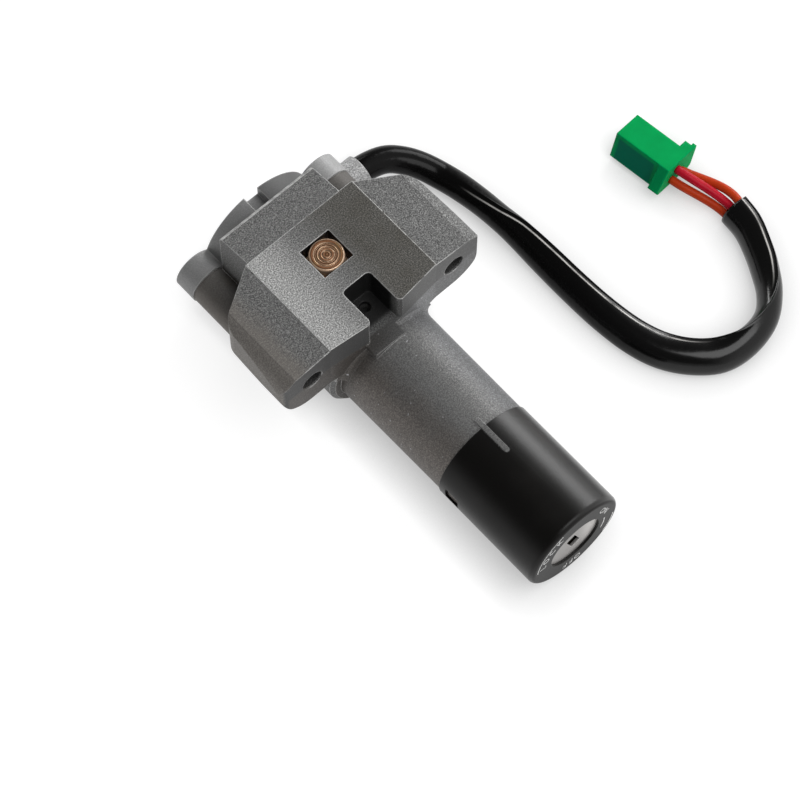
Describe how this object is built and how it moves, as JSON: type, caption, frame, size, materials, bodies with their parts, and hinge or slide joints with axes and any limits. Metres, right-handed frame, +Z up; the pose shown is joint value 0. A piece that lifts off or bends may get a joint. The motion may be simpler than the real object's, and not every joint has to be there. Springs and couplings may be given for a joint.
{
  "type": "ignition switch",
  "caption": "Ignition switch with steering lock: cast housing with two mounting ears, keyed barrel in a black cap, sliding lock bolt, rear cover and a short sleeved lead with a green connector.",
  "frame": {"origin": "on the resting surface, under the middle of the switch without its lead", "axes": "+Y along the lock axis from the dial to the rear cover, +Z up through the lock pad, +X towards the lead"},
  "size_m": [0.1482, 0.1308, 0.0436],
  "materials": {
    "cast_metal": "as-cast, blasted",
    "cap_plastic": "satin black moulding",
    "bright_steel": "satin stamped disc",
    "steel": "plated",
    "plug_brass": "machined",
    "bolt_copper": "turned, passivated",
    "insulator": "phenolic board",
    "rotor_plastic": "moulded",
    "sleeve_pvc": "soft glossy tube",
    "wire_red": "insulation",
    "wire_orange": "insulation",
    "connector_green": "moulded"
  },
  "bodies": {
    "switch_body": {"housing": "cast_metal", "front_cap": "cap_plastic", "rear_cover": "cast_metal", "cover_screws": "steel", "retaining_pin": "steel", "contact_base": "insulator", "fixed_contacts": "bolt_copper", "lead_wires": "wire_red", "sleeve": "sleeve_pvc", "wire_red": "wire_red", "wire_orange_1": "wire_orange", "wire_orange_2": "wire_orange", "connector_housing": "connector_green", "connector_terminals": "plug_brass"},
    "key_plug": {"lock_plug": "plug_brass", "plug_face": "bright_steel", "tumblers": "plug_brass", "tumbler_springs": "steel", "drive_shaft": "steel", "crank_disc": "steel", "crank_pin": "steel", "contact_rotor": "rotor_plastic", "bridge_contact": "bolt_copper", "contact_springs": "steel", "detent_ball": "steel", "detent_spring": "steel"},
    "steering_bolt": {"lock_bolt": "bolt_copper"}
  },
  "joints": [
    {"name": "key_turn", "type": "hinge", "parent": "switch_body", "child": "key_plug", "pos_m": [0, 0, 0.016], "axis": [0, -1, 0], "range_deg": [-60, 60]},
    {"name": "bolt_slide", "type": "slide", "parent": "switch_body", "child": "steering_bolt", "axis": [0, 0, 1], "range_m": [-0.0053, 0.0053]}
  ],
  "couplings": [
    {"joint": "bolt_slide", "follows": "key_turn", "m_per_rad": 0.004962}
  ]
}
